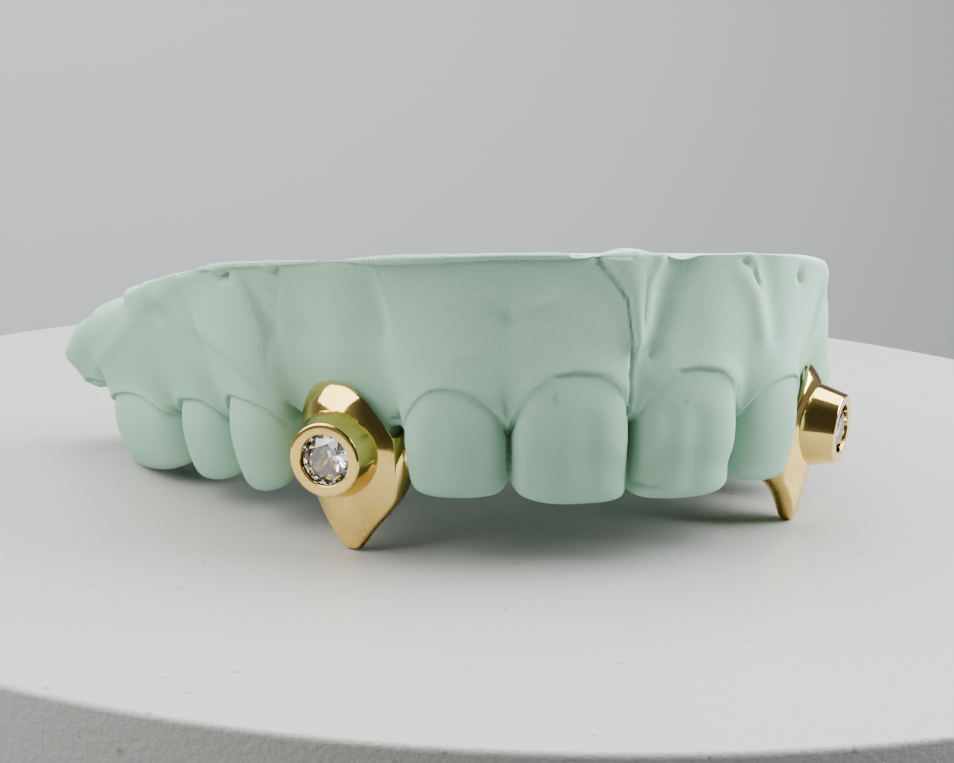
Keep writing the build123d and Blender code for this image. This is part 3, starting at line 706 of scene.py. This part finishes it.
cap = dict(                                   # mm, degrees, and shares of the cap's own sizes
    width=8.9, height=12.8, depth=8.2, fang=3.75,
    wall=0.55, faceWall=0.95, floor=0.3,
    dome=0.26, sideSquare=2.6, sideMargin=0.68, backMargin=0.76, marginPeak=0.25, marginCurve=3.2,
    marginClimb=1.3, edgeRadius=0.17, edgeShare=0.2,
    rim=0.12, rimStart=0.985, rimLevel=0.997, rimShare=0.3, mouthWall=0.8, cutAbove=2.0,
    middle=(17.118, 11.725), outward=-34.52,
    levels=54, levelCurve=1.4, fineSteps=80, faceSteps=34, sideSteps=44, cornerSteps=4, innerLevels=12,
    sharpAngle=35,
)
capRows = asTable(
    "up front back mesial distal wall",
    (0.000, 0.225, 0.165, 0.04, 0.04, 1.00),
    (0.008, 0.255, 0.135, 0.12, 0.12, 1.00),
    (0.035, 0.280, 0.105, 0.22, 0.20, 1.00),
    (0.120, 0.325, 0.065, 0.45, 0.37, 1.00),
    (0.220, 0.370, 0.000, 0.71, 0.56, 1.00),
    (0.290, 0.400, -0.100, 0.86, 0.70, 1.00),
    (0.360, 0.432, -0.230, 0.92, 0.81, 1.00),
    (0.480, 0.490, -0.360, 0.97, 0.95, 1.00),
    (0.620, 0.540, -0.420, 1.00, 1.00, 1.00),
    (0.780, 0.560, -0.445, 1.00, 1.00, 0.95),
    (0.900, 0.525, -0.450, 1.00, 1.00, 0.72),
    (1.000, 0.435, -0.450, 1.00, 1.00, 0.45),
)
bezel = dict(                                 # mm
    wall=0.75, height=1.6, taper=0.36, lip=0.15, land=0.1, recess=0.12, gap=0.12, root=2.05,
    flangeWidth=0.12, flangeHeight=0.15, edge=0.2, skirt=0.25, innerEdge=0.1, cutAhead=1.0,
    steps=96, arcSteps=5,
    tableFacing=0.9999, girdleReach=0.999,    # shares that tell a diamond's table and its girdle
)
goldLook = dict(                              # mm; the satin grows down the fangs
    deep=(0.80, 0.55, 0.15), pale=(0.85, 0.61, 0.19), cloudSize=3.0, clouds=(0.35, 0.65),
    streakSize=0.25, streaks=(0.35, 0.75), roughness=(0.07, 0.14), satinTop=6.2, satinFull=4.2, satin=0.17,
    waveSize=1.6, waveStrength=0.3, waveDepth=0.03,
)


def capMargin(face):
    reach = 1 + cap["marginPeak"] if face < cap["marginPeak"] else 1 - cap["marginPeak"]
    return mix(1.0, cap["sideMargin"], abs((face - cap["marginPeak"]) / reach) ** cap["marginCurve"])


# One point of a cap in its own frame: across its face from -1 to 1, or round its back from 0 to 1
def capPoint(face, turn, level, inset=0.0, faceInset=0.0, floor=0.0):
    if face is not None:
        margin = capMargin(face)
    else:
        climb = ease(math.sin(math.pi * turn) * cap["marginClimb"])
        margin = mix(cap["sideMargin"], cap["backMargin"], climb)
    share = mix(floor, margin, level)
    row = rowAt(capRows, min(share, 1.0))
    front = row["front"] * cap["depth"] - faceInset * row["wall"]
    rear = row["back"] * cap["depth"] + inset
    half = 0.5 * cap["width"]
    near = row["mesial"] * half - inset
    far = row["distal"] * half - inset
    dome = cap["dome"] * cap["depth"]
    if face is not None:
        along = face * (near if face < 0 else far)
        out = front - dome * (along / half) ** 2
    else:
        a = math.pi * turn
        wide = far if turn < 0.5 else near
        power = 2 / cap["sideSquare"]
        along = math.copysign(wide * abs(math.cos(a)) ** power, math.cos(a))
        out = mix(front - dome * (wide / half) ** 2, rear, math.sin(a) ** power)
    return Vector((along, out, share * cap["height"] - cap["fang"]))


def spaced(points, margin, count):            # points evenly along a path, up to a margin from its ends
    lengths = [0.0]
    for a, b in zip(points, points[1:]):
        lengths.append(lengths[-1] + (b - a).length)
    found = []
    spot = 0
    for k in range(count):
        want = mix(margin, lengths[-1] - margin, k / (count - 1))
        while spot < len(points) - 2 and lengths[spot + 1] < want:
            spot += 1
        span = max(lengths[spot + 1] - lengths[spot], 1e-9)
        t = min(max((want - lengths[spot]) / span, 0.0), 1.0)
        found.append(points[spot].lerp(points[spot + 1], t))
    return found


def softCorner(start, corner, end):
    shares = [k / cap["cornerSteps"] for k in range(1, cap["cornerSteps"])]
    return [start.lerp(corner, t).lerp(corner.lerp(end, t), t) for t in shares]


def capRing(level, inset=0.0, faceInset=0.0, floor=0.0):     # a ring round the cap with softened corners
    fine = cap["fineSteps"]
    face = [capPoint(2 * k / fine - 1, None, level, inset, faceInset, floor) for k in range(fine + 1)]
    side = [capPoint(None, k / fine, level, inset, faceInset, floor) for k in range(fine + 1)]
    length = 0.0
    for a, b in zip(face, face[1:]):
        length += (b - a).length
    soft = min(cap["edgeRadius"], cap["edgeShare"] * length)
    front = spaced(face, soft, cap["faceSteps"])
    back = spaced(side, soft, cap["sideSteps"])
    return (front + softCorner(front[-1], side[0], back[0])
            + back + softCorner(back[-1], side[-1], front[0]))


def lofted(name, rings):                      # a closed mesh through rings, with a fan at each end
    count = len(rings[0])
    points = [p for ring in rings for p in ring]
    faces = []
    for r in range(len(rings) - 1):
        for k in range(count):
            n = (k + 1) % count
            faces.append((r * count + k, r * count + n, (r + 1) * count + n, (r + 1) * count + k))
    for ring, first, flip in ((rings[0], 0, True), (rings[-1], (len(rings) - 1) * count, False)):
        points.append(sum(ring, Vector()) / count)
        for k in range(count):
            n = (k + 1) % count
            corners = (first + k, first + n, len(points) - 1)
            faces.append(corners[::-1] if flip else corners)
    return meshFrom(name, points, faces)


def capFrame(side):                           # from a cap's own frame in mm to the part's in metres
    a = math.radians(cap["outward"])
    out = Vector((math.cos(a), math.sin(a), 0))
    back = Vector((-math.sin(a), math.cos(a), 0))
    axes = Matrix((back, out, Vector((0, 0, 1)))).transposed().to_4x4()
    own = Matrix.Translation((*cap["middle"], 0)) @ axes
    if side == "right":
        own = Matrix.Scale(-1, 4, (1, 0, 0)) @ own
    laid = Matrix.Rotation(math.radians(-resting["turn"]), 4, "X")
    return Matrix.Scale(mm, 4) @ Matrix.Translation(resting["shift"]) @ laid @ own


# A diamond's place: the middle and direction of its table, its radius, and how deep its girdle and point lie
def gemPlace(side):
    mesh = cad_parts["diamond_" + side].data
    largest = max(mesh.polygons, key=lambda polygon: polygon.area)
    direction = largest.normal.copy()
    points = [v.co.copy() for v in mesh.vertices]
    inTable = [p for p in mesh.polygons if p.normal.dot(direction) > bezel["tableFacing"]]
    corners = [points[k] for p in inTable for k in p.vertices]
    low, high = (Vector([pick(c[i] for c in corners) for i in range(3)]) for pick in (min, max))
    middle = (low + high) / 2
    depths = [-(p - middle).dot(direction) for p in points]
    reaches = [((p - middle) + direction * depth).length for p, depth in zip(points, depths)]
    radius = max(reaches)
    girdle = [depth for depth, reach in zip(depths, reaches) if reach > radius * bezel["girdleReach"]]
    return dict(middle=middle, direction=direction, radius=radius / mm, top=min(girdle) / mm,
                bottom=max(girdle) / mm, point=max(depths) / mm)


def arc(middle, radius, start, end, steps):
    angles = [math.radians(mix(start, end, k / steps)) for k in range(steps + 1)]
    return [(middle[0] + radius * math.cos(a), middle[1] + radius * math.sin(a)) for a in angles]


def spun(name, profile, gem):                 # a solid turned from radii and depths behind the bezel's front
    steps = bezel["steps"]
    axis = gem["direction"]
    side = axis.orthogonal().normalized()
    other = axis.cross(side)
    front = gem["middle"] + axis * bezel["recess"] * mm
    rings = []
    for radius, depth in profile:
        ring = []
        for k in range(steps):
            a = k * 2 * math.pi / steps
            ring.append(front - axis * depth * mm + (side * math.cos(a) + other * math.sin(a)) * radius * mm)
        rings.append(ring)
    return lofted(name, rings)


def bezelSolids(gem):
    arcSteps = bezel["arcSteps"]
    edge = bezel["edge"]
    ring = gem["radius"] + bezel["wall"]
    flange = ring + bezel["taper"] + bezel["flangeWidth"]
    low = bezel["height"] + bezel["flangeHeight"]
    body = [(ring - edge * 2, 0.0)] + arc((ring - edge, edge), edge, -90, 0, arcSteps)
    body += [(flange, low + bezel["skirt"]), (flange + edge, low + bezel["root"])]
    hole = gem["radius"] - bezel["lip"]
    bore = gem["radius"] + bezel["gap"]
    top = gem["top"] + bezel["recess"]
    soft = bezel["innerEdge"]
    seat = [(hole + soft, -bezel["cutAhead"])] + arc((hole + soft, soft), soft, -90, -180, arcSteps)
    seat += [(hole, bezel["recess"] + bezel["land"]), (bore, top - bezel["gap"]),
             (bore, gem["bottom"] + bezel["recess"] + bezel["gap"]),
             (bezel["gap"], gem["point"] + bezel["recess"] + bezel["gap"])]
    return spun("bezelBody", body[::-1], gem), spun("bezelSeat", seat[::-1], gem)


def cut(piece, tool, operation):
    modifier = piece.modifiers.new(operation, "BOOLEAN")
    modifier.operation = operation
    modifier.solver = "EXACT"
    modifier.object = tool
    bake(piece)
    bpy.data.objects.remove(tool)


def outward(mesh):
    bm = bmesh.new()
    bm.from_mesh(mesh)
    bmesh.ops.recalc_face_normals(bm, faces=bm.faces)
    bm.to_mesh(mesh)
    bm.free()
    return mesh


def goldMaterial():
    material, tree, shader = newMaterial("yellowGold")
    look = goldLook
    where = tree.objectPlace()
    height = tree.node("ShaderNodeSeparateXYZ", {}, {0: where}, out="Z")
    cloud = tree.noise(where, look["cloudSize"] * mm, detail=2.0, rough=0.5)
    streak = tree.noise(where, look["streakSize"] * mm, detail=4.0, rough=0.7)
    wave = tree.noise(where, look["waveSize"] * mm, detail=2.0, rough=0.5)
    satin = tree.range(height, look["satinTop"] * mm, look["satinFull"] * mm, 0.0, look["satin"])
    tree.fill(shader, {
        "Base Color": tree.paint(tree.range(cloud, *look["clouds"]), (*look["deep"], 1), look["pale"]),
        "Metallic": 1.0,
        "Roughness": tree.range(streak, *look["streaks"], *look["roughness"]) + satin,
        "Normal": tree.bump(wave, look["waveStrength"], look["waveDepth"] * mm),
    })
    return material


def capShell():
    levels = cap["levels"]
    rings = [capRing((k / levels) ** cap["levelCurve"] * cap["rimStart"]) for k in range(levels + 1)]
    for level, inset in ((cap["rimLevel"], cap["rim"] * cap["rimShare"]), (1.0, cap["rim"])):
        rings.append(capRing(level, inset, inset))
    return lofted("goldCap", rings)


def capHollow():
    floor = (cap["floor"] + cap["fang"]) / cap["height"]
    levels = cap["innerLevels"]
    rings = [capRing(k / levels, cap["wall"], cap["faceWall"], floor) for k in range(levels + 1)]
    rings.append(capRing(1.0, cap["wall"] - cap["rim"], cap["faceWall"] * cap["mouthWall"], floor))
    rings.append([p + Vector((0, 0, cap["cutAbove"])) for p in rings[-1]])
    return lofted("hollow", rings)


def makeCap(side, gold):
    shell, hollow = capShell(), capHollow()
    for mesh in (shell, hollow):
        mesh.transform(capFrame(side))
        outward(mesh)
    body, seat = (outward(mesh) for mesh in bezelSolids(gemPlace(side)))
    piece = newObject("goldCap_" + side, shell)
    cut(piece, newObject("tool", body), "UNION")
    cut(piece, newObject("tool", hollow), "DIFFERENCE")
    cut(piece, newObject("tool", seat), "DIFFERENCE")
    piece.data.shade_smooth()
    piece.data.set_sharp_from_angle(angle=math.radians(cap["sharpAngle"]))
    dress(piece, gold)
    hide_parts("gold_cap_" + side)
    print("cap", side, len(piece.data.polygons), "faces")


# The diamonds: the frame's own facets with a cut stone's glass

diamondLook = dict(colour=(0.97, 0.98, 1.0), roughness=0.0, ior=2.42)


def diamondMaterial():
    material, tree, shader = newMaterial("diamond")
    tree.fill(shader, {"Base Color": (*diamondLook["colour"], 1), "Roughness": diamondLook["roughness"],
                       "IOR": diamondLook["ior"], "Transmission Weight": 1.0})
    return material


def makeDiamonds():
    clear = diamondMaterial()
    for side in ("right", "left"):
        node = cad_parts["diamond_" + side]
        node.data.materials.clear()
        node.data.materials.append(clear)


makeCamera()
makeStage()
makeLights()
makeWorld()
print("stage and lights are in place")
makeCast()
gold = goldMaterial()
for side in ("right", "left"):
    makeCap(side, gold)
makeDiamonds()
print("caps and diamonds are in place")
